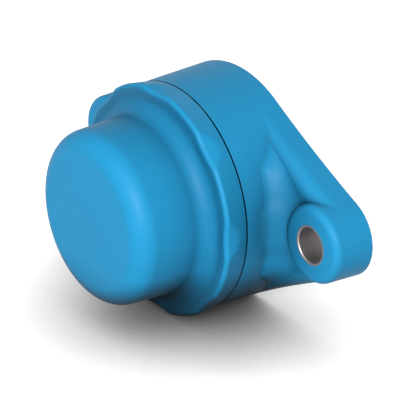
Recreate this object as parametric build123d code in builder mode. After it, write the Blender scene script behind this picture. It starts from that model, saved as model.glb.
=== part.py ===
from build123d import *
import math
import os

# Two-bolt oval flanged bearing unit with a closed end cover, in millimetres.
# The shaft axis is Y. The mounting face lies in the XZ plane and the unit grows from it towards -Y,
# so every "depth" below is a distance in front of the mounting face. X is the long way of the flange.

# Insert bearing: the standard series for a 25 mm shaft, 52 mm across its spherical outside
shaft_diameter = 25.0
inner_groove_wall = 3.02
ball_diameter = 7.938
ball_clearance = 0.03
outer_groove_wall = 2.482
ball_count = 9
raceway_conformity = 0.52
inner_ring_wall = 4.5
outer_ring_wall = 4.0
outer_ring_width = 15.0
inner_ring_front_reach = 19.8
inner_ring_rear_reach = 14.3
ring_chamfer = 0.6
alignment_angle = 2.0

cage_thickness = 3.4
cage_rear_reach = 4.7
cage_front_reach = 2.7
cage_pocket_clearance = 0.1
cage_horn_thickness = 1.1
cage_notch_depth = 4.6

seal_seat_wall = 2.9
seal_seat_width = 2.4
seal_plate_thickness = 0.6
seal_plate_gap = 1.6
seal_plate_inset = 0.4
seal_lip_thickness = 0.8
seal_lip_overlap = 1.8
seal_lip_edge = 0.7
seal_lip_clearance = 0.08

flinger_thickness = 0.6
flinger_hub_length = 2.0
flinger_margin = 0.7
flinger_gap = 0.4

grub_thread_diameter = 6.0
grub_clearance = 0.05
grub_length = 5.0
grub_retraction = 0.5
grub_edge_distance = 5.0
grub_socket_width = 3.0
grub_socket_depth = 2.4
grub_cup_diameter = 3.0
grub_cup_angle = 40.0
grub_chamfer = 0.3
grub_angles = (90.0, -30.0)

# Housing: from the back, a recess with its seal, a lip, the spherical seat and the collar for the cover
back_recess_depth = 4.0
back_recess_step = 3.0
back_lip_width = 2.3
back_lip_gap = 3.5
seat_clearance = 0.05
seat_rear_margin = 2.2
seat_front_margin = 1.5
seat_lead_in = 0.4
slot_clearance = 0.3
collar_wall = 4.4
collar_edge = 1.5
collar_height = 4.25
ring_groove_step = 2.0
ring_groove_width = 1.8
ring_section = 1.5
ring_stand_out = 0.05
body_wall = 9.15
wall_draft = 2.7

back_seal_inset = 0.2
back_seal_band = 1.8
back_seal_web = 1.2
back_seal_gap = 0.35

# Flange: the bolt holes stand 99 mm apart
ear_distance = 14.35
ear_radius = 12.1
waist_radius = 400.0
waist_overlap = 0.05
boss_depth = 12.5
boss_rounding = 2.2
web_step = 2.8
web_edge_rounding = 4.2
root_height = 6.3
root_width = 3.8
root_overlap = 0.06
root_sink = 0.5
root_shift = 12.6
rib_half_width = 5.8
rib_body_step = 7.9
rib_boss_step = 1.6
rib_boss_distance = 11.0
rib_rounding = 4.8
rib_overlap = 1.5
rib_root_depth = 3.0

# Steel bushings that line the bolt holes
bushing_bore = 10.3
bushing_wall = 0.75
bushing_chamfer = 0.3

# End cover
cover_gap = 0.3
cover_fit = 0.1
cover_wall = 2.2
cover_edge_radius = 6.35
cap_length = 19.35
cap_draft = 2.7
cone_width = 4.83
cone_height = 4.8
cone_foot_rise = 0.35
cone_wall_shift = 1.4
cone_cap_rounding = 2.0
cone_rim_rounding = 1.5
rim_length = 6.7
rim_taper = 0.25
rim_land = 2.45
rim_step_clearance = 0.4
rim_edge_rounding = 0.7
grip_count = 8
grip_radius = 36.0
grip_front_bite = 1.15
grip_length = 4.95
grip_flare_angle = 55.0

# Worked-out radii, from the shaft outwards
bore_radius = shaft_diameter / 2
inner_ring_radius = bore_radius + inner_ring_wall
inner_raceway_bottom = bore_radius + inner_groove_wall
ball_radius = ball_diameter / 2
ball_circle_radius = inner_raceway_bottom + ball_clearance + ball_radius
outer_raceway_bottom = ball_circle_radius + ball_radius + ball_clearance
raceway_radius = raceway_conformity * ball_diameter
insert_radius = outer_raceway_bottom + outer_groove_wall
outer_land_radius = insert_radius - outer_ring_wall
cage_inner_radius = ball_circle_radius - cage_thickness / 2
cage_outer_radius = ball_circle_radius + cage_thickness / 2
seal_seat_radius = insert_radius - seal_seat_wall
seal_plate_inner_radius = inner_ring_radius + seal_plate_gap
seal_lip_outer_radius = seal_plate_inner_radius + seal_lip_overlap
flinger_outer_radius = seal_seat_radius - flinger_margin
seat_radius = insert_radius + seat_clearance
back_recess_radius = insert_radius - back_recess_step
back_lip_radius = inner_ring_radius + back_lip_gap
collar_radius = insert_radius + collar_wall
ring_groove_radius = collar_radius + ring_stand_out - ring_section
body_radius = insert_radius + body_wall
bolt_x = body_radius + ear_distance
bushing_radius = bushing_bore / 2 + bushing_wall

# Worked-out depths, from the mounting face forwards
half_width = outer_ring_width / 2
seat_rear_reach = half_width + seat_rear_margin
seat_front_reach = half_width + seat_front_margin
bearing_centre_depth = back_recess_depth + back_lip_width + seat_rear_reach
collar_depth = bearing_centre_depth + seat_front_reach + collar_edge
ring_groove_depth = collar_depth - ring_groove_step
shoulder_depth = collar_depth - collar_height
web_depth = boss_depth - web_step
rib_body_depth = shoulder_depth - rib_body_step
rib_boss_depth = boss_depth - rib_boss_step
rim_rear_depth = shoulder_depth + cover_gap
rim_step_depth = collar_depth + rim_step_clearance
rim_front_depth = shoulder_depth + rim_length
grip_rear_depth = rim_front_depth - grip_length
cone_foot_depth = rim_front_depth + cone_foot_rise
cone_cap_depth = cone_foot_depth + cone_height
cover_front_depth = cone_cap_depth + cap_length

# Worked-out places that need both
shoulder_radius = body_radius - shoulder_depth * math.tan(math.radians(wall_draft))
rib_boss_x = bolt_x - rib_boss_distance
skirt_radius = collar_radius + cover_fit
rim_front_radius = shoulder_radius - rim_taper
cone_rim_radius = rim_front_radius - rim_land
cap_back_radius = cone_rim_radius - cone_width
cap_radius = cap_back_radius - cap_length * math.tan(math.radians(cap_draft))


def at(radius, depth):
    """Point of a turned profile: radius from the shaft axis, depth in front of the mounting face."""
    return (radius, -depth)


def row(radius, reach):
    """Point of a turned profile measured from the ball row, positive towards the front."""
    return at(radius, bearing_centre_depth + reach)


def groove_half_width(groove_centre_radius, land_radius):
    """Half the width of a raceway groove where it meets a land of the given radius."""
    return math.sqrt(raceway_radius**2 - (land_radius - groove_centre_radius) ** 2)


def radius_of(point):
    """Distance of a point from the shaft axis."""
    return math.hypot(point.X, point.Z)


def circle_at(builder, radius, depth):
    """Edges of a turned part that run round the shaft axis at one radius and depth."""
    return builder.edges().filter_by(
        lambda edge: abs(radius_of(edge @ 0) - radius) < 0.01
        and abs((edge @ 0).Y + depth) < 0.01
        and abs((edge @ 0.5).Y + depth) < 0.01
    )


def flange_outline(inset):
    """Closed outline of the flange, moved inwards: shallow waists run from the ears into the body."""
    root_radius = body_radius - waist_overlap - inset
    end_radius = ear_radius - inset
    to_body = waist_radius + inset + root_radius
    to_ear = waist_radius + inset + end_radius
    waist_x = (to_body**2 - to_ear**2 + bolt_x**2) / (2 * bolt_x)
    waist_z = math.sqrt(to_body**2 - waist_x**2)
    body_tangent = (waist_x * root_radius / to_body, waist_z * root_radius / to_body)
    ear_tangent = (bolt_x + (waist_x - bolt_x) * end_radius / to_ear, waist_z * end_radius / to_ear)
    with BuildLine() as outline:
        Line((0, body_tangent[1]), body_tangent)
        RadiusArc(body_tangent, ear_tangent, -waist_radius - inset)
        RadiusArc(ear_tangent, (bolt_x + end_radius, 0), end_radius)
        mirror(about=Plane.YZ)
        mirror(about=Plane.XZ)
    return outline.line


# Flange plate with its rounded front edge
with BuildPart() as web:
    with BuildSketch(Plane.XZ):
        make_face(flange_outline(0).edges())
    extrude(amount=web_depth, taper=wall_draft)
    fillet(web.edges().group_by(Axis.Y)[0], web_edge_rounding)

# Root that curves up from the flange into the body; turned about an axis nearer the ear, so that it fades out
# where the flange's edge meets the body
with BuildPart() as root:
    root_depth = web_depth + root_height
    root_top = body_radius - root_depth * math.tan(math.radians(wall_draft)) - root_overlap
    with BuildSketch(Plane.XY):
        with BuildLine():
            Polyline(
                at(root_top, root_depth),
                at(root_shift, root_depth),
                at(root_shift, web_depth - root_sink),
                at(root_top + root_width, web_depth - root_sink),
                at(root_top + root_width, web_depth),
            )
            TangentArc(at(root_top, root_depth), at(root_top + root_width, web_depth), tangent=(0.05, 1))
        make_face()
    revolve(axis=Axis((root_shift, 0, 0), (0, 1, 0)))

# Short rib that ties the body to a boss; its front slopes down to the boss
with BuildPart() as tie_rib:
    slope = (rib_body_depth - rib_boss_depth) / (rib_boss_x - shoulder_radius)
    rib_start = shoulder_radius - rib_overlap
    rib_end = rib_boss_x + rib_overlap
    with BuildSketch(Plane.XY):
        with BuildLine():
            Polyline(
                at(rib_start, rib_root_depth),
                at(rib_start, rib_body_depth + slope * rib_overlap),
                at(rib_end, rib_boss_depth - slope * rib_overlap),
                at(rib_end, rib_root_depth),
                close=True,
            )
        make_face()
    extrude(amount=rib_half_width, both=True)
    sloped_edges = tie_rib.edges().filter_by(
        lambda edge: edge.center().Y < -rib_boss_depth and abs((edge @ 0).Z - (edge @ 1).Z) < 0.01
    )
    fillet(sloped_edges, rib_rounding)

# Ear boss with its rounded front edge, drafted like the rest of the moulding
with BuildPart() as boss:
    with BuildSketch(Plane.XZ):
        with Locations((bolt_x, 0)):
            Circle(ear_radius)
    extrude(amount=boss_depth, taper=wall_draft)
    fillet(boss.edges().group_by(Axis.Y)[0], boss_rounding)

with BuildPart() as housing:
    # Drafted body and the collar that the end cover slips over, with the groove of its sealing ring
    groove_rear = ring_groove_depth - ring_groove_width / 2
    groove_front = ring_groove_depth + ring_groove_width / 2
    with BuildSketch(Plane.YZ):
        with BuildLine():
            Polyline(
                (0, 0),
                (0, body_radius),
                (-shoulder_depth, shoulder_radius),
                (-shoulder_depth, collar_radius),
                (-groove_rear, collar_radius),
                (-groove_rear, ring_groove_radius),
                (-groove_front, ring_groove_radius),
                (-groove_front, collar_radius),
                (-collar_depth, collar_radius),
                (-collar_depth, 0),
                close=True,
            )
        make_face()
    revolve(axis=Axis.Y)
    add(web.part)
    add(root.part)
    add(root.part.mirror(Plane.YZ))
    add(boss.part)
    add(boss.part.mirror(Plane.YZ))
    add(tie_rib.part)
    add(tie_rib.part.mirror(Plane.YZ))
    # Spherical seat between the recess of the back seal and the open front
    seat_front_radius = math.sqrt(seat_radius**2 - seat_front_reach**2)
    seat_rear_radius = math.sqrt(seat_radius**2 - seat_rear_reach**2)
    with BuildSketch(Plane.XY):
        with BuildLine():
            Polyline(
                row(seat_front_radius, seat_front_reach),
                at(seat_front_radius + seat_lead_in, collar_depth + 1),
                at(0, collar_depth + 1),
                at(0, -1),
                at(back_recess_radius, -1),
                at(back_recess_radius, back_recess_depth),
                at(back_lip_radius, back_recess_depth),
                row(back_lip_radius, -seat_rear_reach),
                row(seat_rear_radius, -seat_rear_reach),
            )
            ThreePointArc(
                row(seat_rear_radius, -seat_rear_reach),
                row(seat_radius, 0),
                row(seat_front_radius, seat_front_reach),
            )
        make_face()
    revolve(axis=Axis.Y, mode=Mode.SUBTRACT)
    # Two filling slots let the insert in edgeways before it is swivelled home
    with BuildSketch(Plane.XZ.offset(bearing_centre_depth)):
        Circle(seat_radius)
        Rectangle(outer_ring_width + 2 * slot_clearance, 3 * seat_radius, mode=Mode.INTERSECT)
    extrude(amount=collar_depth - bearing_centre_depth + 1, mode=Mode.SUBTRACT)
    with Locations(Plane.XZ.offset(boss_depth)):
        with Locations((-bolt_x, 0), (bolt_x, 0)):
            Hole(bushing_radius)
housing.part.label = "housing"

# Steel bushings, moulded in so that the bolts can't crush the housing
with BuildPart() as bushing:
    with BuildSketch(Plane.XZ):
        Circle(bushing_radius)
        Circle(bushing_bore / 2, mode=Mode.SUBTRACT)
    extrude(amount=boss_depth)
    chamfer(bushing.edges().filter_by(GeomType.CIRCLE).sort_by(SortBy.RADIUS)[:2], bushing_chamfer)

# Rubber sealing ring in the groove of the collar
with BuildPart() as cover_seal:
    with BuildSketch(Plane.XY):
        with Locations(at(ring_groove_radius + ring_section / 2, ring_groove_depth)):
            Circle(ring_section / 2)
    revolve(axis=Axis.Y)
cover_seal.part.label = "cover_seal"

# Tool that scoops a hand grip out of the rim: a turned cylinder that leans inwards, with an end that flares
# to leave a rounded front edge. It stands in the XZ plane here, with X as the radius and Z as the depth.
grip_tilt = math.atan(grip_front_bite / grip_length)
flare_turn = math.radians(grip_flare_angle)
flare_start = (grip_length - rim_edge_rounding * (1 - math.sin(grip_tilt))) / math.cos(grip_tilt)


def grip_point(across, along):
    """Point of the tool's profile: distance from its axis, on the side away from the rim, and along the axis."""
    return (
        shoulder_radius + math.cos(grip_tilt) * (grip_radius + across) - math.sin(grip_tilt) * along,
        grip_rear_depth + math.sin(grip_tilt) * (grip_radius + across) + math.cos(grip_tilt) * along,
    )


def flare_point(turn):
    """Point of the tool's flare after its wall has turned outwards by an angle."""
    return grip_point(
        grip_radius + rim_edge_rounding * (1 - math.cos(turn)),
        flare_start + rim_edge_rounding * math.sin(turn),
    )


with BuildPart() as grip_tool:
    lead_out = rim_edge_rounding
    tool_end = flare_start + rim_edge_rounding * math.sin(flare_turn) + lead_out * math.cos(flare_turn)
    tool_end_radius = grip_radius + rim_edge_rounding * (1 - math.cos(flare_turn)) + lead_out * math.sin(flare_turn)
    with BuildSketch(Plane.XZ):
        with BuildLine():
            Polyline(
                flare_point(flare_turn),
                grip_point(tool_end_radius, tool_end),
                grip_point(0, tool_end),
                grip_point(0, -cover_gap),
                grip_point(grip_radius, -cover_gap),
                flare_point(0),
            )
            ThreePointArc(flare_point(0), flare_point(flare_turn / 2), flare_point(flare_turn))
        make_face()
    axis_foot = grip_point(0, 0)
    revolve(axis=Axis((axis_foot[0], 0, axis_foot[1]), (-math.sin(grip_tilt), 0, math.cos(grip_tilt))))

# End cover: a cap that widens through a cone to a gripped rim
with BuildPart() as end_cover:
    with BuildSketch(Plane.XY):
        with BuildLine():
            Polyline(
                at(0, cover_front_depth),
                at(cap_radius, cover_front_depth),
                at(cap_back_radius, cone_cap_depth),
                at(cone_rim_radius, cone_foot_depth),
                at(rim_front_radius, rim_front_depth),
                at(shoulder_radius, rim_rear_depth),
                at(skirt_radius, rim_rear_depth),
                at(skirt_radius, rim_step_depth),
                at(cap_back_radius - cover_wall, cone_cap_depth - cone_wall_shift),
                at(cap_radius - cover_wall, cover_front_depth - cover_wall),
                at(0, cover_front_depth - cover_wall),
                close=True,
            )
        make_face()
    revolve(axis=Axis.Y)
    for radius, depth, rounding in (
        (cap_radius, cover_front_depth, cover_edge_radius),
        (cap_radius - cover_wall, cover_front_depth - cover_wall, cover_edge_radius - cover_wall),
        (cap_back_radius, cone_cap_depth, cone_cap_rounding),
        (cone_rim_radius, cone_foot_depth, cone_rim_rounding),
        (rim_front_radius, rim_front_depth, rim_edge_rounding),
    ):
        fillet(circle_at(end_cover, radius, depth), rounding)
    with Locations(Plane.XZ):
        with PolarLocations(0, grip_count):
            add(grip_tool.part, mode=Mode.SUBTRACT)
end_cover.part.label = "end_cover"

# Outer ring: spherical outside, raceway in the middle, a seat for a seal in each end
with BuildPart() as outer_ring:
    land_edge = groove_half_width(outer_raceway_bottom - raceway_radius, outer_land_radius)
    seat_edge = half_width - seal_seat_width
    side_radius = math.sqrt(insert_radius**2 - half_width**2)
    with BuildSketch(Plane.XY):
        with BuildLine():
            Polyline(
                row(side_radius, half_width),
                row(seal_seat_radius, half_width),
                row(seal_seat_radius, seat_edge),
                row(outer_land_radius, seat_edge),
                row(outer_land_radius, land_edge),
            )
            ThreePointArc(
                row(outer_land_radius, land_edge),
                row(outer_raceway_bottom, 0),
                row(outer_land_radius, -land_edge),
            )
            Polyline(
                row(outer_land_radius, -land_edge),
                row(outer_land_radius, -seat_edge),
                row(seal_seat_radius, -seat_edge),
                row(seal_seat_radius, -half_width),
                row(side_radius, -half_width),
            )
            ThreePointArc(row(side_radius, -half_width), row(insert_radius, 0), row(side_radius, half_width))
        make_face()
    revolve(axis=Axis.Y)
    fillet(circle_at(outer_ring, side_radius, bearing_centre_depth + half_width), ring_chamfer)
    fillet(circle_at(outer_ring, side_radius, bearing_centre_depth - half_width), ring_chamfer)
outer_ring.part.label = "outer_ring"

# Inner ring: extended both ways, tapped for two grub screws at the front
grub_depth = bearing_centre_depth + inner_ring_front_reach - grub_edge_distance
grub_planes = [
    Plane(
        origin=(0, -grub_depth, 0),
        x_dir=(0, 1, 0),
        z_dir=(math.cos(math.radians(angle)), 0, math.sin(math.radians(angle))),
    )
    for angle in grub_angles
]
with BuildPart() as inner_ring:
    land_edge = groove_half_width(inner_raceway_bottom + raceway_radius, inner_ring_radius)
    with BuildSketch(Plane.XY):
        with BuildLine():
            Polyline(
                row(inner_ring_radius, land_edge),
                row(inner_ring_radius, inner_ring_front_reach),
                row(bore_radius, inner_ring_front_reach),
                row(bore_radius, -inner_ring_rear_reach),
                row(inner_ring_radius, -inner_ring_rear_reach),
                row(inner_ring_radius, -land_edge),
            )
            ThreePointArc(
                row(inner_ring_radius, -land_edge),
                row(inner_raceway_bottom, 0),
                row(inner_ring_radius, land_edge),
            )
        make_face()
    revolve(axis=Axis.Y)
    end_edges = inner_ring.edges().group_by(Axis.Y)[0] + inner_ring.edges().group_by(Axis.Y)[-1]
    chamfer(end_edges, ring_chamfer)
    for plane in grub_planes:
        with BuildSketch(plane):
            Circle(grub_thread_diameter / 2 + grub_clearance)
        extrude(amount=2 * inner_ring_radius, mode=Mode.SUBTRACT)
inner_ring.part.label = "inner_ring"

# Grub screws, backed off so that a shaft can pass
grub_screws = []
for number, plane in enumerate(grub_planes, start=1):
    tip = bore_radius + grub_retraction
    with BuildPart() as grub_screw:
        with BuildSketch(plane.offset(tip)):
            Circle(grub_thread_diameter / 2)
        extrude(amount=grub_length)
        chamfer(grub_screw.edges().filter_by(GeomType.CIRCLE), grub_chamfer)
        with BuildSketch(plane.offset(tip + grub_length)):
            RegularPolygon(grub_socket_width / 2, 6, major_radius=False)
        extrude(amount=-grub_socket_depth, mode=Mode.SUBTRACT)
        with BuildSketch(plane.offset(tip)):
            Circle(grub_cup_diameter / 2)
        extrude(amount=grub_cup_diameter / 2, taper=grub_cup_angle, mode=Mode.SUBTRACT)
    grub_screw.part.label = f"grub_screw_{number}"
    grub_screws.append(grub_screw.part)

# Balls, and the snap cage that spaces them
balls = []
for number in range(1, ball_count + 1):
    with BuildPart() as ball:
        with Locations(Plane.XZ.offset(bearing_centre_depth)):
            with PolarLocations(ball_circle_radius, 1, start_angle=(number - 1) * 360 / ball_count):
                Sphere(ball_radius)
    ball.part.label = f"ball_{number}"
    balls.append(ball.part)

with BuildPart() as cage:
    with BuildSketch(Plane.XZ.offset(bearing_centre_depth - cage_rear_reach)):
        Circle(cage_outer_radius)
        Circle(cage_inner_radius, mode=Mode.SUBTRACT)
    extrude(amount=cage_rear_reach + cage_front_reach)
    # Pockets, open at the front where each ball snaps in between two horns
    with Locations(Plane.XZ.offset(bearing_centre_depth)):
        with PolarLocations(ball_circle_radius, ball_count):
            Sphere(ball_radius + cage_pocket_clearance, mode=Mode.SUBTRACT)
    # Notches between neighbouring horns let them spread
    pocket_mouth = math.sqrt((ball_radius + cage_pocket_clearance) ** 2 - cage_front_reach**2)
    pitch = 2 * ball_circle_radius * math.sin(math.pi / ball_count)
    notch_width = pitch - 2 * (pocket_mouth + cage_horn_thickness)
    notch_start = bearing_centre_depth + cage_front_reach - cage_notch_depth
    with BuildSketch(Plane.XZ.offset(notch_start)):
        with PolarLocations(ball_circle_radius, ball_count, start_angle=180 / ball_count):
            Rectangle(2 * (cage_outer_radius - cage_inner_radius), notch_width)
    extrude(amount=cage_notch_depth, mode=Mode.SUBTRACT)
cage.part.label = "cage"

# Contact seals in the outer ring: a steel plate with a rubber lip that wipes the inner ring
seal_names = {1: "front", -1: "rear"}
seals = []
for side, name in seal_names.items():
    plate_outer = half_width - seal_plate_inset
    plate_inner = plate_outer - seal_plate_thickness
    seat_floor = half_width - seal_seat_width
    lip_radius = inner_ring_radius + seal_lip_clearance
    with BuildPart() as seal_plate:
        with BuildSketch(Plane.XY):
            with BuildLine():
                Polyline(
                    row(seal_seat_radius, side * seat_floor),
                    row(seal_seat_radius, side * plate_outer),
                    row(seal_plate_inner_radius, side * plate_outer),
                    row(seal_plate_inner_radius, side * plate_inner),
                    row(seal_seat_radius - seal_plate_thickness, side * plate_inner),
                    row(seal_seat_radius - seal_plate_thickness, side * seat_floor),
                    close=True,
                )
            make_face()
        revolve(axis=Axis.Y)
    seal_plate.part.label = f"{name}_seal_plate"
    with BuildPart() as seal_lip:
        with BuildSketch(Plane.XY):
            with BuildLine():
                Polyline(
                    row(seal_lip_outer_radius, side * plate_inner),
                    row(seal_plate_inner_radius, side * plate_inner),
                    row(seal_plate_inner_radius, side * plate_outer),
                    row(lip_radius, side * plate_outer),
                    row(lip_radius, side * (plate_outer - seal_lip_edge)),
                    row(seal_plate_inner_radius, side * (plate_inner - seal_lip_thickness)),
                    row(seal_lip_outer_radius, side * (plate_inner - seal_lip_thickness)),
                    close=True,
                )
            make_face()
        revolve(axis=Axis.Y)
    seal_lip.part.label = f"{name}_seal_lip"
    # Steel flinger pressed on the inner ring just outside the seal
    flinger_face = half_width + flinger_gap
    with BuildPart() as flinger:
        with BuildSketch(Plane.XY):
            with BuildLine():
                Polyline(
                    row(inner_ring_radius, side * flinger_face),
                    row(flinger_outer_radius, side * flinger_face),
                    row(flinger_outer_radius, side * (flinger_face + flinger_thickness)),
                    row(inner_ring_radius + flinger_thickness, side * (flinger_face + flinger_thickness)),
                    row(inner_ring_radius + flinger_thickness, side * (flinger_face + flinger_hub_length)),
                    row(inner_ring_radius, side * (flinger_face + flinger_hub_length)),
                    close=True,
                )
            make_face()
        revolve(axis=Axis.Y)
    flinger.part.label = f"{name}_flinger"
    seals += [seal_plate.part, seal_lip.part, flinger.part]

# Rubber seal in the back of the housing
with BuildPart() as back_seal:
    swing = inner_ring_rear_reach * math.sin(math.radians(alignment_angle))
    back_lip_inner = inner_ring_radius + swing + back_seal_gap
    band_front = back_recess_depth
    web_rear = (back_seal_inset + band_front - back_seal_web) / 2
    with BuildSketch(Plane.XY):
        with BuildLine():
            Polyline(
                at(back_recess_radius, back_seal_inset),
                at(back_recess_radius, band_front),
                at(back_recess_radius - back_seal_band, band_front),
                at(back_recess_radius - back_seal_band, web_rear + back_seal_web),
                at(back_lip_inner + back_seal_web, web_rear + back_seal_web),
                at(back_lip_inner, web_rear),
                at(back_lip_inner, back_seal_inset),
                at(back_lip_inner + back_seal_web / 2, back_seal_inset),
                at(back_lip_inner + back_seal_web, web_rear),
                at(back_recess_radius - back_seal_band, web_rear),
                at(back_recess_radius - back_seal_band, back_seal_inset),
                close=True,
            )
        make_face()
    revolve(axis=Axis.Y)
back_seal.part.label = "back_seal"

right_bushing = Pos(bolt_x, 0, 0) * bushing.part
right_bushing.label = "bolt_bushing_right"
left_bushing = Pos(-bolt_x, 0, 0) * bushing.part
left_bushing.label = "bolt_bushing_left"

os.makedirs("parts", exist_ok=True)
pieces = [
    housing.part,
    right_bushing,
    left_bushing,
    cover_seal.part,
    end_cover.part,
    back_seal.part,
    outer_ring.part,
    inner_ring.part,
    cage.part,
    *seals,
    *grub_screws,
    *balls,
]
for piece in pieces:
    export_step(piece, f"parts/{piece.label}.step")
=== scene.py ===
"""Looks of an oval two-bolt flange bearing unit with a closed end cover, in a plain studio.

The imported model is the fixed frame: the shaft axis is Y, the mounting face lies in the XZ plane, the
cover faces -Y and Z is up. Lengths are written in millimetres and turned into metres where they are used.
"""
import logging
import math
from dataclasses import dataclass
from enum import Enum
from typing import Mapping, Optional, Sequence, Union

import bpy
import numpy as np
from mathutils import Matrix, Vector


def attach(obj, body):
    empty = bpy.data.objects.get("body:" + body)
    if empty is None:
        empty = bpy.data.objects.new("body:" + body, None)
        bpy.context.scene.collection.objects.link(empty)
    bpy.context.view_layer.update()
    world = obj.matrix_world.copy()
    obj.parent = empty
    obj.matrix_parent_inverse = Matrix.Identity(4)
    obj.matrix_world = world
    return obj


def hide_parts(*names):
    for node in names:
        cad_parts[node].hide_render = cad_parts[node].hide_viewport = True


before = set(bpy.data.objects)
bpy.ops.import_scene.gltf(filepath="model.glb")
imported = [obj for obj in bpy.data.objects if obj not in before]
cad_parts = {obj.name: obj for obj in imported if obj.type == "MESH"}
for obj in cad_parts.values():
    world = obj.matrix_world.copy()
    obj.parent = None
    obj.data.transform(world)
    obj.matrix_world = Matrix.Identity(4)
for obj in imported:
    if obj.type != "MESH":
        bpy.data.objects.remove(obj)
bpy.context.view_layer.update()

MM = 0.001
# The Mix node has sockets for every type of data. These are the places of its colour ones.
MIX_FIRST_COLOUR = 6
MIX_SECOND_COLOUR = 7
MIX_COLOUR_RESULT = 2
BEVEL_SAMPLES = 12
WHITE = (1.0, 1.0, 1.0)
# A pole is closed by a face this small, in millimetres.
POLE_RADIUS = 0.02

Colour = tuple[float, float, float]
Point = tuple[float, float, float]

log = logging.getLogger("flange_unit")


class Slot(Enum):
    """The record's material slots that the new pieces take their finish from."""

    HOUSING = "housing_blue"
    COVER = "cover_blue"
    SCREW = "screw_steel"


Value = Union["Wire", float]
Paint = Union["Wire", Colour]


class Wire:
    """One number in a material's node tree. Python's operators on it add Math nodes."""

    def __init__(self, graph: "Graph", socket: Optional[bpy.types.NodeSocket]) -> None:
        """Wraps a socket.

        Args:
            graph: The node tree that the socket is in.
            socket: The output socket that gives the number, or None where a node ends the tree.
        """
        self.graph = graph
        self.socket = socket

    def _math(self, operation: str, first: Value, second: Value) -> "Wire":
        """Adds one Math node.

        Args:
            operation: Blender's name of the operation.
            first: The first number.
            second: The second number.

        Returns:
            The result.
        """
        return self.graph.node("ShaderNodeMath", {"operation": operation}, {0: first, 1: second})

    def __add__(self, other: Value) -> "Wire":
        """Sum."""
        return self._math("ADD", self, other)

    def __radd__(self, other: Value) -> "Wire":
        """Sum, with the number on the left."""
        return self._math("ADD", other, self)

    def __sub__(self, other: Value) -> "Wire":
        """Difference."""
        return self._math("SUBTRACT", self, other)

    def __rsub__(self, other: Value) -> "Wire":
        """Difference, with the number on the left."""
        return self._math("SUBTRACT", other, self)

    def __mul__(self, other: Value) -> "Wire":
        """Product."""
        return self._math("MULTIPLY", self, other)

    def __rmul__(self, other: Value) -> "Wire":
        """Product, with the number on the left."""
        return self._math("MULTIPLY", other, self)

    def __truediv__(self, other: Value) -> "Wire":
        """Quotient."""
        return self._math("DIVIDE", self, other)

    def __pow__(self, other: Value) -> "Wire":
        """Power."""
        return self._math("POWER", self, other)

    def larger(self, other: Value) -> "Wire":
        """The larger of two numbers."""
        return self._math("MAXIMUM", self, other)

    def smaller(self, other: Value) -> "Wire":
        """The smaller of two numbers."""
        return self._math("MINIMUM", self, other)

    def kept_between_0_and_1(self) -> "Wire":
        """The number, held from 0 to 1."""
        return self.larger(0.0).smaller(1.0)


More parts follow.
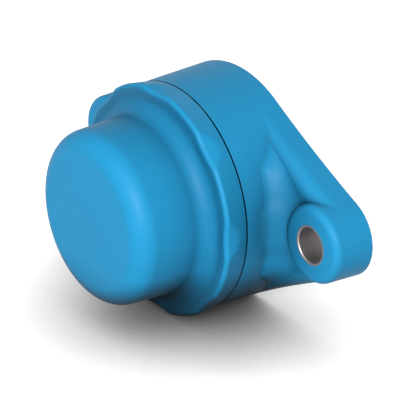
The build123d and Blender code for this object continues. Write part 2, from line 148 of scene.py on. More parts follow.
class Graph:
    """A node tree that is written as a formula."""

    def __init__(self, tree: bpy.types.NodeTree) -> None:
        """Empties a node tree.

        Args:
            tree: The tree of a material or of the world.
        """
        self.tree = tree
        tree.nodes.clear()

    def node(
        self,
        kind: str,
        settings: Optional[Mapping[str, object]] = None,
        inputs: Optional[Mapping[Union[str, int], object]] = None,
        output: Union[str, int] = 0,
    ) -> Wire:
        """Adds a node of any kind.

        Args:
            kind: Blender's name of the node's type.
            settings: The node's own properties, which are set first.
            inputs: A number, a colour or a Wire for each socket, by name or place.
            output: The name or place of the output that is wanted.

        Returns:
            That output.
        """
        made = self.tree.nodes.new(kind)
        for name, setting in (settings or {}).items():
            setattr(made, name, setting)
        for name, value in (inputs or {}).items():
            if isinstance(value, Wire):
                self.tree.links.new(value.socket, made.inputs[name])
            else:
                made.inputs[name].default_value = value
        return Wire(self, made.outputs[output] if len(made.outputs) else None)

    def place(self, centre: Point = (0.0, 0.0, 0.0)) -> Wire:
        """The point of the surface in millimetres, counted from a centre.

        Args:
            centre: The centre in millimetres.

        Returns:
            The point as a vector.
        """
        metres = self.node("ShaderNodeTexCoord", output="Object")
        millimetres = (1 / MM,) * 3
        return self.node(
            "ShaderNodeMapping",
            {"vector_type": "POINT"},
            {"Vector": metres, "Scale": millimetres, "Location": tuple(-c for c in centre)},
        )

    def noise(self, place: Wire, size: float, detail: float = 2.0, rough: float = 0.5) -> Wire:
        """Smooth noise from 0 to 1, about 0.5.

        Args:
            place: The point in millimetres.
            size: The width of one blotch in millimetres.
            detail: How many finer layers are added.
            rough: How strong the finer layers are.

        Returns:
            The noise.
        """
        inputs = {"Vector": place, "Scale": 1 / size, "Detail": detail, "Roughness": rough}
        return self.node("ShaderNodeTexNoise", {"noise_dimensions": "3D"}, inputs, "Fac")

    def blotches(self, place: Wire, size: float) -> Wire:
        """Noise with rough finer layers, as stains, haze and bloom have.

        Args:
            place: The point in millimetres.
            size: The width of one blotch in millimetres.

        Returns:
            The noise.
        """
        return self.noise(place, size, detail=4.0, rough=0.6)

    def mixed(self, amount: Wire, low: Paint, high: Paint) -> Wire:
        """Mixes two colours, each of them fixed or varying.

        Args:
            amount: 0 for the first colour, 1 for the second.
            low: The first colour.
            high: The second colour.

        Returns:
            The mixed colour.
        """
        first, second = (paint if isinstance(paint, Wire) else (*paint, 1.0) for paint in (low, high))
        settings = {"data_type": "RGBA", "clamp_factor": True}
        inputs = {"Factor": amount, MIX_FIRST_COLOUR: first, MIX_SECOND_COLOUR: second}
        return self.node("ShaderNodeMix", settings, inputs, MIX_COLOUR_RESULT)

    def spread(self, amount: Wire, colour: Colour, contrast: float) -> Wire:
        """A colour that varies from a little darker to a little lighter.

        Args:
            amount: 0 for the darkest, 1 for the lightest.
            colour: The middle colour.
            contrast: The share by which either end differs from it.

        Returns:
            The colour.
        """
        return self.mixed(amount, shaded(colour, 1 - contrast), shaded(colour, 1 + contrast))

    def part(self, vector: Wire, axis: str) -> Wire:
        """One part of a vector.

        Args:
            vector: The vector.
            axis: X, Y or Z.

        Returns:
            That part.
        """
        return self.node("ShaderNodeSeparateXYZ", None, {0: vector}, axis)

    def softened_normal(self, radius: Value) -> Wire:
        """The surface normal, turned smoothly across sharp edges.

        Args:
            radius: The width of the turn in millimetres.

        Returns:
            The normal.
        """
        return self.node("ShaderNodeBevel", {"samples": BEVEL_SAMPLES}, {"Radius": radius * MM})

    def edge(self, radius: float, contrast: float) -> Wire:
        """A mask that is 1 on sharp edges and 0 on plain faces.

        Args:
            radius: The mask's width in millimetres.
            contrast: How fast it rises where the face turns.

        Returns:
            The mask.
        """
        turned = self.softened_normal(radius)
        plain = self.node("ShaderNodeNewGeometry", output="Normal")
        return ((1 - self.dot(turned, plain)) * contrast).kept_between_0_and_1()

    def dot(self, vector: Wire, other: Union[Wire, Point]) -> Wire:
        """The dot product of two vectors."""
        return self.node("ShaderNodeVectorMath", {"operation": "DOT_PRODUCT"}, {0: vector, 1: other}, "Value")

    def openness(self, reach: float, samples: int = 16) -> Wire:
        """How open the surroundings of a point are: 1 on a free face and towards 0 deep in a corner.

        Args:
            reach: How far away a neighbouring face still counts, in millimetres.
            samples: How many looks around one reading takes.

        Returns:
            The openness.
        """
        inputs = {"Distance": reach * MM}
        return self.node("ShaderNodeAmbientOcclusion", {"samples": samples}, inputs, "AO")

    def scaled(self, colour: Paint, factor: Wire) -> Wire:
        """A colour times a number.

        Args:
            colour: The colour.
            factor: The number.

        Returns:
            The scaled colour.
        """
        return self.node("ShaderNodeVectorMath", {"operation": "SCALE"}, {0: colour, "Scale": factor})

    def bump(self, height: Wire, depth: float, strength: float, normal: Optional[Wire] = None) -> Wire:
        """Turns a height into a normal.

        Args:
            height: The height, from 0 to 1.
            depth: The relief in millimetres from 0 to 1.
            strength: The share of the relief that shows.
            normal: The normal that it starts from.

        Returns:
            The normal.
        """
        inputs: dict[str, object] = {"Height": height, "Distance": depth * MM, "Strength": strength}
        if normal is not None:
            inputs["Normal"] = normal
        return self.node("ShaderNodeBump", None, inputs)

    def surface(self, inputs: Mapping[str, object]) -> None:
        """Ends the material with the usual surface shader.

        Args:
            inputs: The shader's sockets by name.
        """
        shader = self.node("ShaderNodeBsdfPrincipled", None, inputs)
        self.node("ShaderNodeOutputMaterial", None, {"Surface": shader})


def shaded(colour: Colour, factor: float) -> Colour:
    """A colour times a factor, channel by channel."""
    return tuple(channel * factor for channel in colour)


def new_material(name: str) -> tuple[bpy.types.Material, Graph]:
    """Makes an empty node material.

    Args:
        name: The material's name.

    Returns:
        The material and its node tree.
    """
    material = bpy.data.materials.new(name)
    material.use_nodes = True
    return material, Graph(material.node_tree)


@dataclass(frozen=True)
class MouldedPlastic:
    """Injection-moulded plastic: faint flow marks, a fine mould grain, edges polished by handling, and
    painted shade in its hollows.
    """

    name: str
    colour: Colour
    edge_colour: Colour
    roughness: float = 0.48
    specular: float = 0.14
    flow_size: float = 22.0
    flow_contrast: float = 0.05
    flow_dulling: float = 0.1
    grain_size: float = 0.22
    grain_depth: float = 0.006
    grain_strength: float = 0.5
    grain_dulling: float = 0.06
    edge_width: float = 0.45
    edge_contrast: float = 6.0
    edge_amount: float = 0.44
    edge_polish: float = 0.06
    rub_size: float = 5.5
    # Painted shade: neighbouring faces within this reach darken the base colour, by the openness to this
    # power.
    painted_shade_reach: float = 24.0
    painted_shade_power: float = 2.5
    fine_edge: float = 0.18
    melt: float = 0.0
    melt_centre: float = 0.0
    boss_radius: float = 11.5
    boss_fade: float = 3.0
    shoulder_depth: float = 19.0
    shoulder_fade: float = 3.0
    back_depth: float = 1.2
    back_fade: float = 2.0

    def build(self) -> bpy.types.Material:
        """Makes the material: base colour by flow marks and edges, darkened by painted shade in corners and
        hollows, roughness and bump by the grain.
        """
        material, graph = new_material(self.name)
        place = graph.place()
        flow = graph.noise(place, self.flow_size, detail=3.0)
        grain = graph.noise(place, self.grain_size, detail=1.0)
        rubbed = graph.blotches(place, self.rub_size)
        edge = graph.edge(self.edge_width, self.edge_contrast)
        body = graph.spread(flow, self.colour, self.flow_contrast)
        worn = graph.mixed(edge * rubbed * self.edge_amount, body, self.edge_colour)
        # Painted shade: the colour is darkened in corners, creases and hollows, where shade falls.
        base = graph.scaled(worn, graph.openness(self.painted_shade_reach) ** self.painted_shade_power)
        dulled = (flow - 0.5) * self.flow_dulling + (grain - 0.5) * self.grain_dulling
        rough = self.roughness + dulled - edge * self.edge_polish
        soft = graph.softened_normal(self.edge_radius(graph, place))
        normal = graph.bump(grain, self.grain_depth, self.grain_strength, soft)
        graph.surface(
            {
                "Base Color": base,
                "Roughness": rough,
                "Specular IOR Level": self.specular,
                "Normal": normal,
            }
        )
        return material

    def edge_radius(self, graph: Graph, place: Wire) -> Value:
        """How round the edges look: fine edges everywhere, and a soft melt where the flange meets the body.

        Args:
            graph: The material's formula.
            place: The point of the surface in millimetres.

        Returns:
            The radius in millimetres.
        """
        if not self.melt:
            return self.fine_edge
        across = graph.part(place, "X")
        across = across.larger(across * -1) - self.melt_centre
        up = graph.part(place, "Z")
        depth = graph.part(place, "Y") * -1
        from_bolt = (across * across + up * up) ** 0.5
        clear_of_boss = ((from_bolt - self.boss_radius) / self.boss_fade).kept_between_0_and_1()
        before_shoulder = ((self.shoulder_depth - depth) / self.shoulder_fade).kept_between_0_and_1()
        off_the_back = ((depth - self.back_depth) / self.back_fade).kept_between_0_and_1()
        return self.fine_edge + clear_of_boss * before_shoulder * off_the_back * self.melt


@dataclass(frozen=True)
class TurnedSteel:
    """Turned or ground steel: fine rings about the axis it was spun on, with light handling marks, and, where
    its power is set, painted shade in its hollows.
    """

    name: str
    colour: Colour
    roughness: float = 0.3
    axis: Point = (0.0, 1.0, 0.0)
    centre: Point = (0.0, 0.0, 0.0)
    ring_pitch: float = 0.12
    ring_depth: float = 0.004
    ring_strength: float = 0.6
    ring_share: float = 0.4
    ring_dulling: float = 0.14
    stain_size: float = 5.0
    stain_amount: float = 0.08
    stain_dulling: float = 0.1
    edge_width: float = 0.2
    edge_contrast: float = 5.0
    edge_amount: float = 0.35
    edge_lift: float = 1.25
    fine_edge: float = 0.08
    # Painted shade in hollows, off unless its power is set.
    painted_shade_reach: float = 6.0
    painted_shade_power: float = 0.0

    def build(self) -> bpy.types.Material:
        """Makes the material.

        The rings are noise read along two numbers alone, the distance from the axis and the way along
        it, so that the marks run round the axis on flat ends and on round walls.
        """
        material, graph = new_material(self.name)
        place = graph.place(self.centre)
        along = graph.dot(place, self.axis)
        length = graph.node("ShaderNodeVectorMath", {"operation": "LENGTH"}, {0: place}, "Value")
        radius = (length * length - along * along).larger(0.0) ** 0.5
        track = graph.node("ShaderNodeCombineXYZ", None, {"X": radius, "Y": along})
        rings = graph.noise(track, self.ring_pitch, detail=2.0, rough=0.6)
        stain = graph.blotches(place, self.stain_size)
        edge = graph.edge(self.edge_width, self.edge_contrast)
        marks = stain * (1 - self.ring_share) + rings * self.ring_share
        body = graph.spread(marks, self.colour, self.stain_amount)
        base = graph.mixed(edge * self.edge_amount, body, shaded(self.colour, self.edge_lift))
        # Painted shade: the colour is darkened in bores and corners, where shade falls.
        if self.painted_shade_power:
            base = graph.scaled(base, graph.openness(self.painted_shade_reach) ** self.painted_shade_power)
        rough = self.roughness + (rings - 0.5) * self.ring_dulling + (stain - 0.5) * self.stain_dulling
        normal = graph.bump(rings, self.ring_depth, self.ring_strength, graph.softened_normal(self.fine_edge))
        graph.surface({"Base Color": base, "Roughness": rough, "Metallic": 1.0, "Normal": normal})
        return material


@dataclass(frozen=True)
class PolishedSteel:
    """Lapped bearing steel with a trace of grease haze and hair-fine scratches."""

    name: str
    colour: Colour
    roughness: float = 0.08
    haze_size: float = 1.5
    haze_dark: float = 0.93
    haze_light: float = 1.05
    haze_dulling: float = 0.08
    scratch_size: float = 0.8
    scratch_stretch: Point = (9.0, 0.6, 9.0)
    scratch_depth: float = 0.002
    scratch_strength: float = 0.4
    scratch_dulling: float = 0.03

    def build(self) -> bpy.types.Material:
        """Makes the material: colour and roughness by the haze, bump by stretched scratch noise."""
        material, graph = new_material(self.name)
        place = graph.place()
        haze = graph.blotches(place, self.haze_size)
        inputs = {"Vector": place, "Scale": self.scratch_stretch}
        stretched = graph.node("ShaderNodeMapping", {"vector_type": "POINT"}, inputs)
        scratches = graph.noise(stretched, self.scratch_size)
        base = graph.mixed(haze, shaded(self.colour, self.haze_dark), shaded(self.colour, self.haze_light))
        dulled = (haze - 0.5) * self.haze_dulling + (scratches - 0.5) * self.scratch_dulling
        rough = self.roughness + dulled
        normal = graph.bump(scratches, self.scratch_depth, self.scratch_strength)
        graph.surface({"Base Color": base, "Roughness": rough, "Metallic": 1.0, "Normal": normal})
        return material


@dataclass(frozen=True)
class MouldedRubber:
    """Moulded seal rubber: dull, with a bloom and fine pitting."""

    name: str
    colour: Colour
    bloom: Colour
    roughness: float = 0.62
    specular: float = 0.35
    bloom_size: float = 3.5
    shade: float = 0.85
    pit_size: float = 0.16
    pit_depth: float = 0.01
    pit_strength: float = 0.6
    pit_dulling: float = 0.2
    edge_width: float = 0.2
    edge_contrast: float = 5.0
    edge_amount: float = 0.3
    edge_lift: float = 1.3
    fine_edge: float = 0.12

    def build(self) -> bpy.types.Material:
        """Makes the material: the bloom lightens the colour, and the pits roughen and dent it."""
        material, graph = new_material(self.name)
        place = graph.place()
        bloom = graph.blotches(place, self.bloom_size)
        pits = graph.noise(place, self.pit_size)
        edge = graph.edge(self.edge_width, self.edge_contrast)
        body = graph.mixed(bloom, shaded(self.colour, self.shade), self.bloom)
        base = graph.mixed(edge * self.edge_amount, body, shaded(self.bloom, self.edge_lift))
        rough = self.roughness + (pits - 0.5) * self.pit_dulling
        normal = graph.bump(pits, self.pit_depth, self.pit_strength, graph.softened_normal(self.fine_edge))
        graph.surface(
            {
                "Base Color": base,
                "Roughness": rough,
                "Specular IOR Level": self.specular,
                "Normal": normal,
            }
        )
        return material


def grid_mesh(name: str, points: np.ndarray, closed_rows: bool, closed_ends: bool) -> bpy.types.Mesh:
    """Makes a mesh from a grid of points, a surface worked out over two parameters.

    Args:
        name: The mesh's name.
        points: The points as rows, columns and X, Y, Z, in metres.
        closed_rows: Whether the last column joins the first.
        closed_ends: Whether the first and last rows close to their own middle.

    Returns:
        The mesh, with its faces turned outwards when rows run along the axis that columns go round.
    """
    rows, columns, _ = points.shape
    index = np.arange(rows * columns).reshape(rows, columns)
    following = np.roll(index, -1, axis=1)
    if not closed_rows:
        index = index[:, :-1]
        following = following[:, :-1]
    quads = np.stack([index[:-1], following[:-1], following[1:], index[1:]], axis=-1).reshape(-1, 4)
    vertices = points.reshape(-1, 3)
    faces = quads.tolist()
    if closed_ends:
        faces.append(index[0, ::-1].tolist())
        faces.append(index[-1].tolist())
    mesh = bpy.data.meshes.new(name)
    mesh.from_pydata(vertices.tolist(), [], faces)
    mesh.polygons.foreach_set("use_smooth", np.ones(len(mesh.polygons), bool))
    mesh.update()
    return mesh


def run(start: Sequence[float], end: Sequence[float], count: int) -> np.ndarray:
    """Points along a straight line, closer together towards its ends.

    Args:
        start: The first point.
        end: The last point.
        count: How many points.

    Returns:
        The points as rows.
    """
    share = (0.5 - 0.5 * np.cos(np.linspace(0, np.pi, count)))[:, None]
    return np.asarray(start) + (np.asarray(end) - np.asarray(start)) * share


def bend(middle: Sequence[float], radius: float, start: float, end: float, count: int) -> np.ndarray:
    """Points along an arc.

    Args:
        middle: The arc's middle.
        radius: Its radius.
        start: The angle that it starts at.
        end: The angle that it ends at.
        count: How many points.

    Returns:
        The points as rows.
    """
    turn = np.linspace(start, end, count)
    return np.stack([middle[0] + radius * np.cos(turn), middle[1] + radius * np.sin(turn)], axis=-1)


def joined(runs: Sequence[np.ndarray]) -> np.ndarray:
    """One line of points from several that meet, without the points where they meet twice.

    Args:
        runs: The lines.

    Returns:
        The points as rows.
    """
    points = np.vstack(runs)
    steps = np.hypot(*np.diff(points, axis=0).T)
    return points[np.concatenate([[True], steps > 1e-4])]


def eased(share: np.ndarray) -> np.ndarray:
    """A soft step: 0 up to 0, 1 from 1 on, and 3 s squared - 2 s cubed between them.

    Args:
        share: How far along the step.

    Returns:
        The eased share.
    """
    held = np.clip(share, 0, 1)
    return held**2 * (3 - 2 * held)


def direction(azimuth: float, elevation: float) -> Vector:
    """The way from the object to something round it, as a unit vector.

    Args:
        azimuth: Degrees from the front of the cover, 90 on the right of the flange.
        elevation: Degrees above the level.

    Returns:
        The unit vector.
    """
    turn = math.radians(azimuth)
    rise = math.radians(elevation)
    return Vector((math.sin(turn) * math.cos(rise), -math.cos(turn) * math.cos(rise), math.sin(rise)))


def new_piece(name: str, mesh: bpy.types.Mesh, material: bpy.types.Material) -> bpy.types.Object:
    """Makes an object of a mesh, at the origin and unturned.

    Args:
        name: The object's name.
        mesh: Its mesh, already in place.
        material: Its material.

    Returns:
        The object.
    """
    mesh.materials.append(material)
    piece = bpy.data.objects.new(name, mesh)
    bpy.context.scene.collection.objects.link(piece)
    return piece


def dress(node: str, material: bpy.types.Material) -> None:
    """Gives a CAD node its finish.

    Args:
        node: The node's name.
        material: The material for all of its faces.
    """
    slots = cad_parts[node].data.materials
    slots.clear()
    slots.append(material)
    log.info("%s: %s", node, material.name)


@dataclass(frozen=True)
class FlangeRoot:
    """The soft root between the housing's body and one side of its flange, with the rib to the boss.

    It lies on the flange's plain front and fades into it, so that body, flange, rib and boss look
    poured as one. Depths count from the mounting face towards the front.
    """

    name: str
    side: float
    body_radius: float = 34.33
    root_radius: float = 5.6
    web_depth: float = 9.7
    web_edge: float = 4.2
    outline_radius: float = 34.65
    outline_slope: float = 62.3
    outline_length: float = 43.8
    outline_waist: float = 0.6
    crown: float = 1.2
    crown_width: float = 9.0
    fade_start: float = 36.0
    fade_end: float = 42.3
    margin: float = 1.1
    easing: float = 4.5
    rib_height: float = 1.2
    rib_half_width: float = 7.0
    rib_steepness: int = 6
    sink: float = 0.1
    inner_radius: float = 34.2
    foot_depth: float = 4.0
    half_turn: float = 57.0
    narrowest: float = 0.05
    overlap: float = 0.2
    rows: int = 181
    columns: int = 72

    def build(self, material: bpy.types.Material) -> bpy.types.Object:
        """Builds the root on the housing.

        Args:
            material: The housing's finish.

        Returns:
            The root.
        """
        piece = new_piece(self.name, self.mesh(), material)
        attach(piece, "housing_unit")
        log.info("%s lies on housing", piece.name)
        return piece

    def inset(self, x: np.ndarray, z: np.ndarray) -> np.ndarray:
        """How far a point of the flange is inside its edge, a nearly straight line with a shallow waist.

        Args:
            x: The distance from the shaft axis along the flange.
            z: The height, without its sign.

        Returns:
            The distance from the edge.
        """
        slope = math.radians(self.outline_slope)
        straight = self.outline_radius - x * math.cos(slope) - z * math.sin(slope)
        share = np.clip((x * math.sin(slope) - z * math.cos(slope)) / self.outline_length, 0, 1)
        return straight - 4 * self.outline_waist * share * (1 - share)

    def depth(self, radius: np.ndarray, turn: np.ndarray) -> np.ndarray:
        """The depth of the root's front.

        It is the flange's own front, flat with a quarter round at the edge, sunk a little, plus a
        quarter hollow round the body, a crown that fades towards the ear, and the rib.

        Args:
            radius: The distance from the shaft axis.
            turn: The angle from the flange's long axis.

        Returns:
            The depth.
        """
        x = radius * np.cos(turn)
        z = np.abs(radius * np.sin(turn))
        inset = self.inset(x, z)
        edge = self.web_edge
        over = np.clip(edge - inset, 0, edge)
        front = self.web_depth - edge + np.sqrt(edge**2 - over**2)
        away = np.clip(self.root_radius - (radius - self.body_radius), 0, self.root_radius)
        hollow = self.root_radius - np.sqrt(self.root_radius**2 - away**2)
        crown = self.crown * eased(inset / self.crown_width)
        fade = 1 - eased((radius - self.fade_start) / (self.fade_end - self.fade_start))
        rib = self.rib_height / (1 + (z / self.rib_half_width) ** self.rib_steepness)
        from_edge = eased((inset - self.margin) / self.easing)
        return front - self.sink + from_edge * (hollow + crown * fade + rib)

    def mesh(self) -> bpy.types.Mesh:
        """The root as one closed surface over the angle round the shaft and a loop across its section.

        Returns:
            The mesh in its place.
        """
        half_turn = math.radians(self.half_turn)
        turn = np.linspace(-half_turn, half_turn, self.rows)[:, None]
        slope = math.radians(self.outline_slope)
        outline = (self.outline_radius - self.margin) / np.cos(np.abs(turn) - slope)
        end = np.clip(outline, self.inner_radius + self.narrowest, self.fade_end + self.overlap)
        share = np.linspace(0, 1, self.columns)[None, :] ** 2
        radius = self.inner_radius + (end - self.inner_radius) * share
        front = self.depth(radius, turn)
        radii = np.hstack([radius, radius[:, -1:], radius[:, :1]])
        foot = 0 * turn + self.foot_depth
        depths = np.hstack([front, foot, foot])
        turns = turn + 0 * radii
        x = self.side * radii * np.cos(turns)
        z = radii * np.sin(turns)
        points = np.stack([x, -depths, z], axis=-1)
        order = slice(None, None, -1) if self.side < 0 else slice(None)
        return grid_mesh(self.name, points[:, order] * MM, closed_rows=True, closed_ends=True)


@dataclass
class HousingUnit:
    """The moulded housing with its two steel bushings, the back seal and the sealing ring."""

    bolt_spacing: float = 99.0
    plastic: MouldedPlastic = MouldedPlastic(
        name="housing_blue_composite",
        colour=(0.022, 0.32, 0.615),
        edge_colour=(0.05, 0.42, 0.75),
        melt=2.0,
        melt_centre=49.5,
    )
    rubber: MouldedRubber = MouldedRubber("seal_rubber", colour=(0.02, 0.11, 0.22), bloom=(0.05, 0.16, 0.28))

    def build(self) -> None:
        """Dresses the housing and what is fixed in it."""
        plastic = self.plastic.build()
        dress("housing", plastic)
        for side, word in ((-1.0, "left"), (1.0, "right")):
            FlangeRoot(f"flange_root_{word}", side).build(plastic)
        rubber = self.rubber.build()
        dress("back_seal", rubber)
        dress("cover_seal", rubber)
        for side, node in ((-1, "bolt_bushing_left"), (1, "bolt_bushing_right")):
            dress(node, self.bushing_steel(node, side).build())

    def bushing_steel(self, name: str, side: int) -> TurnedSteel:
        """The finish of one bushing, with its turning rings about the bolt's own axis and painted shade in
        its bore.

        Args:
            name: The bushing's name.
            side: -1 for the left one and 1 for the right one.

        Returns:
            The finish.
        """
        centre = (side * self.bolt_spacing / 2, 0.0, 0.0)
        return TurnedSteel(
            name=f"{name}_steel",
            colour=(0.3, 0.28, 0.28),
            roughness=0.5,
            centre=centre,
            # The bore is darkened by painted shade.
            painted_shade_power=1.8,
        )


@dataclass
class EndCover:
    """The closed cover that slips over the housing's collar, as a moulding with soft edges.

    Depths count from the mounting face towards the front, and radii from the shaft axis.
    """

    front_depth: float = 53.45
    cap_radius: float = 25.66
    cap_draft: float = 2.7
    cap_edge: float = 6.35
    hollow_edge: float = 5.2
    face_depth: float = 30.0
    crest_radius: float = 34.85
    crest_edge: float = 1.25
    rear_depth: float = 22.65
    rear_radius: float = 34.1
    rear_edge: float = 0.2
    skirt_radius: float = 30.5
    step_depth: float = 26.9
    wall: float = 2.2
    inner_depth: float = 32.7
    scoop_count: int = 8
    scoop_radius: float = 36.0
    scoop_foot: float = 27.9
    scoop_lean: float = 0.13
    scoop_softness: float = 0.25
    scoop_fade: float = 0.4
    around: int = 384
    plastic: MouldedPlastic = MouldedPlastic(
        name="cover_blue_plastic",
        colour=(0.02, 0.325, 0.625),
        edge_colour=(0.05, 0.42, 0.75),
    )

    def build(self) -> bpy.types.Object:
        """Builds the cover and puts it in place of its CAD node.

        Returns:
            The cover.
        """
        piece = new_piece("moulded_end_cover", self.mesh("end_cover"), self.plastic.build())
        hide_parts("end_cover")
        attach(piece, "end_cover_unit")
        log.info("%s stands for end_cover", piece.name)
        return piece

    def outside(self) -> list[np.ndarray]:
        """The outer half of the profile, from the middle of the front to the rear edge of the rim.

        Returns:
            Runs of radii and depths.
        """
        draft = math.radians(self.cap_draft)
        lean = math.tan(draft)
        edge = self.cap_edge
        edge_radius = self.cap_radius - edge * (1 - math.sin(draft)) / math.cos(draft)
        hollow = self.hollow_edge
        foot = self.face_depth + hollow
        foot_radius = self.cap_radius + (self.front_depth - foot) * lean + hollow / math.cos(draft)
        crest = self.crest_edge
        crest_middle = (self.crest_radius - crest, self.face_depth - crest)
        rear = self.rear_edge
        rear_middle = (self.rear_radius - rear, self.rear_depth + rear)
        up, side = math.pi / 2, 0.0
        runs = [
            run((POLE_RADIUS, self.front_depth), (edge_radius, self.front_depth), count=12),
            bend((edge_radius, self.front_depth - edge), edge, up, draft, count=20),
        ]
        wall_top = runs[-1][-1]
        bowl = bend((foot_radius, foot), hollow, math.pi + draft, math.pi + up, count=20)
        runs += [
            run(wall_top, bowl[0], count=14),
            bowl,
            run(bowl[-1], (crest_middle[0], self.face_depth), count=6),
            bend(crest_middle, crest, up, side, count=12),
            run((self.crest_radius, crest_middle[1]), (self.rear_radius, rear_middle[1]), count=20),
            bend(rear_middle, rear, side, -up, count=5),
        ]
        return runs

    def inside(self) -> list[np.ndarray]:
        """The inner half of the profile, from the rear of the rim to the middle of the cap.

        Returns:
            Runs of radii and depths.
        """
        lean = math.tan(math.radians(self.cap_draft))
        edge = self.cap_edge - self.wall
        roof = self.front_depth - self.wall
        inner_radius = self.cap_radius - self.wall
        inner_foot = inner_radius + (self.front_depth - self.inner_depth) * lean
        wall_top = (inner_radius + lean * edge, roof - edge)
        rear = (self.rear_radius - self.rear_edge, self.rear_depth)
        skirt = (self.skirt_radius, self.rear_depth)
        step = (self.skirt_radius, self.step_depth)
        return [
            run(rear, skirt, count=6),
            run(skirt, step, count=6),
            run(step, (inner_foot, self.inner_depth), count=8),
            run((inner_foot, self.inner_depth), wall_top, count=10),
            bend((wall_top[0] - edge, roof - edge), edge, 0.0, math.pi / 2, count=12),
            run((wall_top[0] - edge, roof), (POLE_RADIUS, roof), count=8),
        ]

    def scooped(self, radii: np.ndarray, depths: np.ndarray, angle: np.ndarray) -> np.ndarray:
        """Takes the hand grips out of the rim.

        Each grip is cut by a cylinder that leans inwards towards the front. Seen from the shaft axis
        its near side is at C cos a - sqrt(R squared - C squared sin squared a), where C is how far the
        cylinder's axis is at that depth, R its radius and a the angle from the grip's middle. The
        smaller of that and the rim's own radius is taken with a soft corner, and the crest and the
        hollow in front of it give way by the same amount, less and less towards the cap.

        Args:
            radii: The profile's radii, as a column.
            depths: Its depths, as a column.
            angle: The angles round the shaft, as a row.

        Returns:
            The radius of every point.
        """
        sector = 2 * np.pi / self.scoop_count
        from_middle = (angle + sector / 2) % sector - sector / 2
        axis = self.rear_radius + self.scoop_radius - self.scoop_lean * (depths - self.scoop_foot)
        root = self.scoop_radius**2 - (axis * np.sin(from_middle)) ** 2
        missed = 2 * self.crest_radius
        cut = np.where(root > 0, axis * np.cos(from_middle) - np.sqrt(np.clip(root, 0, None)), missed)
        share = (depths - self.rear_depth) / (self.face_depth - self.crest_edge - self.rear_depth)
        rim = self.rear_radius + (self.crest_radius - self.rear_radius) * np.clip(share, 0, 1)
        soft = self.scoop_softness
        mix = np.clip(0.5 + 0.5 * (cut - rim) / soft, 0, 1)
        kept = cut + (rim - cut) * mix - soft * mix * (1 - mix)
        start = self.cap_radius + self.scoop_fade * self.hollow_edge
        hold = eased((radii - start) / (self.crest_radius - self.crest_edge - start))
        return radii - hold * np.clip(rim - kept, 0, None)

    def mesh(self, name: str) -> bpy.types.Mesh:
        """The cover as one closed surface over a station along its profile and the angle round it.

        Args:
            name: The mesh's name.

        Returns:
            The mesh in its place.
        """
        angle = np.linspace(0, 2 * np.pi, self.around, endpoint=False)[None, :]
        outer = joined(self.outside())
        inner = joined(self.inside())[1:]
        outer_radii = self.scooped(outer[:, :1], outer[:, 1:], angle)
        radii = np.vstack([outer_radii, inner[:, :1] + 0 * angle])
        depths = np.vstack([outer[:, 1:], inner[:, 1:]]) + 0 * angle
        points = np.stack([radii * np.cos(angle), -depths, radii * np.sin(angle)], axis=-1)
        return grid_mesh(name, points[:, ::-1] * MM, closed_rows=True, closed_ends=True)


@dataclass
class GrubScrew:
    """One grub screw with its rolled thread, hexagon socket and cup point."""

    number: int
    turn: float
    depth: float = 30.8
    tip: float = 13.0
    length: float = 5.0
    thread_radius: float = 3.0
    pitch: float = 0.75
    thread_height: float = 0.42
    chamfer: float = 0.3
    socket_width: float = 3.0
    socket_depth: float = 2.4
    cup_radius: float = 1.5
    cup_depth: float = 0.9
    around: int = 96
    rows_per_turn: int = 12

    def build(self, material: bpy.types.Material) -> bpy.types.Object:
        """Builds the screw and puts it in place of its CAD node.

        Args:
            material: The screw's finish.

        Returns:
            The screw.
        """
        node = f"grub_screw_{self.number}"
        piece = new_piece(f"threaded_{node}", self.mesh(node), material)
        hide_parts(node)
        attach(piece, f"{node}_body")
        log.info("%s stands for %s", piece.name, node)
        return piece

    def mesh(self, name: str) -> bpy.types.Mesh:
        """The screw as one closed surface over the angle round it and a station along its profile.

        The profile runs from the middle of the cup point, over the cup's rim, up the threaded wall and
        down the hexagon socket to its middle. On the wall the radius is the thread's radius less its
        height times a triangle wave of the way along minus the pitch times the share of a turn, so
        that the ridge winds round. In the socket the radius is half the width across flats divided by
        the cosine of the angle from the nearest flat's middle.

        Args:
            name: The mesh's name.

        Returns:
            The mesh in its place.
        """
        angle = np.linspace(0, 2 * np.pi, self.around, endpoint=False)
        turns = self.length / self.pitch
        along = np.linspace(0, self.length, int(turns * self.rows_per_turn))[:, None]
        phase = along / self.pitch - angle[None, :] / (2 * np.pi)
        wave = np.abs(2 * (phase - np.floor(phase)) - 1)
        end_distance = np.minimum(along, self.length - along)
        ceiling = self.thread_radius - np.clip(self.chamfer - end_distance, 0, None)
        wall = np.minimum(self.thread_radius - self.thread_height * wave, ceiling)
        sector = np.pi / 3
        from_flat = (angle + sector / 2) % sector - sector / 2
        hexagon = self.socket_width / 2 / np.cos(from_flat)
        ring = np.ones_like(angle)
        pole = ring * POLE_RADIUS
        floor = ring * (self.length - self.socket_depth)
        radii = np.vstack([pole, ring * self.cup_radius, wall, hexagon, hexagon, pole])
        heights = np.vstack(
            [
                ring * self.cup_depth,
                ring * 0,
                along + ring * 0,
                ring * self.length,
                floor,
                floor,
            ]
        )
        outward = np.array([math.cos(self.turn), 0.0, math.sin(self.turn)])
        across = np.array([-math.sin(self.turn), 0.0, math.cos(self.turn)])
        shaft = np.array([0.0, 1.0, 0.0])
        points = (
            outward * (self.tip + heights)[..., None]
            + across * (radii * np.cos(angle))[..., None]
            + shaft * (radii * np.sin(angle) - self.depth)[..., None]
        )
        return grid_mesh(name, points[:, ::-1] * MM, closed_rows=True, closed_ends=True)


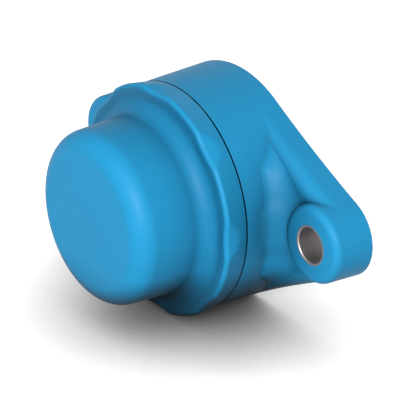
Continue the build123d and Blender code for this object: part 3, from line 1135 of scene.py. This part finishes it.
@dataclass
class InsertBearing:
    """The self-aligning ball bearing: rings, balls, cage, seals, flingers and grub screws."""

    ball_count: int = 9
    screw_turns: tuple[float, float] = (90.0, -30.0)
    ring_steel: TurnedSteel = TurnedSteel(
        name="bearing_ring_steel",
        colour=(0.56, 0.56, 0.57),
        roughness=0.2,
        ring_pitch=0.08,
        ring_depth=0.002,
    )
    pressed_steel: TurnedSteel = TurnedSteel("pressed_stainless", colour=(0.55, 0.55, 0.55), ring_pitch=0.2)
    screw_steel: TurnedSteel = TurnedSteel(
        name="screw_stainless",
        colour=(0.42, 0.42, 0.43),
        roughness=0.34,
        ring_pitch=0.1,
    )
    ball_steel: PolishedSteel = PolishedSteel("ball_steel", colour=(0.62, 0.62, 0.63))
    rubber: MouldedRubber = MouldedRubber("lip_rubber", colour=(0.02, 0.11, 0.22), bloom=(0.05, 0.16, 0.28))
    nylon: MouldedPlastic = MouldedPlastic(
        name="cage_nylon",
        colour=(0.62, 0.57, 0.46),
        edge_colour=(0.75, 0.72, 0.62),
        roughness=0.5,
    )

    def build(self) -> None:
        """Dresses the rings, balls, cage and seals, and builds the screws."""
        rings = self.ring_steel.build()
        dress("outer_ring", rings)
        dress("inner_ring", rings)
        pressed = self.pressed_steel.build()
        rubber = self.rubber.build()
        for end in ("front", "rear"):
            dress(f"{end}_seal_plate", pressed)
            dress(f"{end}_flinger", pressed)
            dress(f"{end}_seal_lip", rubber)
        self.dress_balls()
        screw_steel = self.screw_steel.build()
        for number, degrees in enumerate(self.screw_turns, start=1):
            GrubScrew(number, math.radians(degrees)).build(screw_steel)

    def dress_balls(self) -> None:
        """Dresses the balls and the cage that spaces them."""
        ball_steel = self.ball_steel.build()
        for number in range(1, self.ball_count + 1):
            dress(f"ball_{number}", ball_steel)
        dress("cage", self.nylon.build())


@dataclass
class StudioLamp:
    """A round soft lamp that faces the object."""

    name: str
    azimuth: float
    elevation: float
    distance: float
    size: float
    level: float
    aim: Point = (15.0, -25.0, 0.0)

    def build(self) -> bpy.types.Object:
        """Places the lamp.

        The level is the light that the lamp gives on a white face turned to it, as a share of plain
        daylight, so its power is the level times pi squared times the square of the distance, in metres.

        Returns:
            The lamp.
        """
        way = direction(self.azimuth, self.elevation)
        data = bpy.data.lights.new(self.name, "AREA")
        data.shape = "DISK"
        data.size = self.size * MM
        data.energy = self.level * math.pi**2 * (self.distance * MM) ** 2
        lamp = bpy.data.objects.new(self.name, data)
        lamp.location = (Vector(self.aim) + way * self.distance) * MM
        lamp.rotation_euler = way.to_track_quat("Z", "Y").to_euler()
        bpy.context.scene.collection.objects.link(lamp)
        log.info("%s: level %.2f", self.name, self.level)
        return lamp


@dataclass
class Studio:
    """The pale floor with a painted shadow under the object, the white surroundings and the soft lamps."""

    floor_depth: float = 35.15
    floor_reach: float = 3000.0
    floor_rows: int = 24
    floor_colour: Colour = (0.45, 0.45, 0.45)
    floor_bounce: Colour = (0.2, 0.2, 0.2)
    floor_contrast: float = 0.015
    floor_glow: float = 1.05
    fibre_size: float = 0.9
    # The painted shadow: how far the object darkens the floor, how many looks a reading takes, and how
    # steeply it darkens.
    painted_shadow_reach: float = 38.0
    painted_shadow_samples: int = 24
    painted_shadow_power: float = 1.5
    sky_level: float = 0.12
    lamps: tuple[StudioLamp, ...] = (
        StudioLamp("key_lamp", 40.0, 25.0, 1500.0, 350.0, 1.13),
        StudioLamp("back_lamp", 205.0, 10.0, 1200.0, 600.0, 0.4),
    )

    def build(self) -> None:
        """Builds the floor, the surroundings and the lamps."""
        self.build_floor()
        self.build_sky()
        for lamp in self.lamps:
            lamp.build()

    def seen_directly(self, graph: Graph) -> Wire:
        """1 for what the camera sees, also in a gloss or through glass, and 0 for lighting."""
        camera = graph.node("ShaderNodeLightPath", output="Is Camera Ray")
        glossy = graph.node("ShaderNodeLightPath", output="Is Glossy Ray")
        through = graph.node("ShaderNodeLightPath", output="Is Transmission Ray")
        return camera.larger(glossy).larger(through)

    def build_floor(self) -> bpy.types.Object:
        """Builds the floor: a level sheet, the height the same over both of its parameters, with the object's
        shadow painted into its colour and glow.

        Returns:
            The floor.
        """
        material, graph = new_material("floor_paper")
        place = graph.place()
        fibres = graph.noise(place, self.fibre_size, detail=3.0)
        seen = self.seen_directly(graph)
        # Painted shadow: the paper's colour and its glow darken where the object is near; the lamps' own
        # shadows still fall on the matte part.
        painted_shadow_openness = graph.openness(self.painted_shadow_reach, self.painted_shadow_samples)
        paper = graph.spread(fibres, self.floor_colour, self.floor_contrast)
        tone = graph.mixed(1 - seen, graph.scaled(paper, painted_shadow_openness), self.floor_bounce)
        matte = graph.node("ShaderNodeBsdfDiffuse", None, {"Color": tone})
        # The glow that keeps the floor white, darkened by the painted shadow.
        light = graph.scaled(WHITE, seen * self.floor_glow * painted_shadow_openness**self.painted_shadow_power)
        glow = graph.node("ShaderNodeEmission", None, {"Color": light, "Strength": 1.0})
        both = graph.node("ShaderNodeAddShader", None, {0: matte, 1: glow})
        graph.node("ShaderNodeOutputMaterial", None, {"Surface": both})
        line = np.linspace(-self.floor_reach, self.floor_reach, self.floor_rows)
        x, y = np.meshgrid(line, line)
        points = np.stack([x, y, np.full_like(x, -self.floor_depth)], axis=-1)
        mesh = grid_mesh("floor", points * MM, closed_rows=False, closed_ends=False)
        floor = new_piece("floor", mesh, material)
        log.info("floor at %.2f mm", -self.floor_depth)
        return floor

    def build_sky(self) -> None:
        """Makes the surroundings white where they are seen, and plain soft light elsewhere."""
        world = bpy.data.worlds.new("studio")
        world.use_nodes = True
        graph = Graph(world.node_tree)
        seen = self.seen_directly(graph)
        strength = self.sky_level + seen * (1 - self.sky_level)
        sky = graph.node("ShaderNodeBackground", None, {"Color": (*WHITE, 1.0), "Strength": strength})
        graph.node("ShaderNodeOutputWorld", None, {"Surface": sky})
        bpy.context.scene.world = world


@dataclass
class CameraView:
    """The photograph's camera: where it stands round the object, and how long its lens is."""

    azimuth: float = 53.14
    elevation: float = 24.82
    distance: float = 642.7
    target: Point = (15.37, -25.0, 4.75)
    lens: float = 203.46
    sensor: float = 36.0
    near_clip: float = 10.0
    far_clip: float = 50000.0

    def build(self) -> bpy.types.Object:
        """Places the camera on a level line of sight to its target.

        Returns:
            The camera.
        """
        turn = math.radians(self.azimuth)
        back = direction(self.azimuth, self.elevation)
        right = Vector((math.cos(turn), math.sin(turn), 0.0))
        up = back.cross(right)
        data = bpy.data.cameras.new("photo_camera")
        data.lens = self.lens
        data.sensor_width = self.sensor
        data.sensor_fit = "HORIZONTAL"
        data.clip_start = self.near_clip * MM
        data.clip_end = self.far_clip * MM
        camera = bpy.data.objects.new("photo_camera", data)
        turned = Matrix((right, up, back)).transposed().to_4x4()
        camera.matrix_world = Matrix.Translation((Vector(self.target) + back * self.distance) * MM) @ turned
        bpy.context.scene.collection.objects.link(camera)
        bpy.context.scene.camera = camera
        log.info("camera at azimuth %.1f, elevation %.1f", self.azimuth, self.elevation)
        return camera


def main() -> None:
    """Builds the object's sub-assemblies, then the studio and the camera."""
    logging.basicConfig(level=logging.INFO, format="%(name)s: %(message)s", force=True)
    bpy.context.scene.view_settings.view_transform = "Standard"
    HousingUnit().build()
    EndCover().build()
    InsertBearing().build()
    Studio().build()
    CameraView().build()


if __name__ == "__main__":
    main()
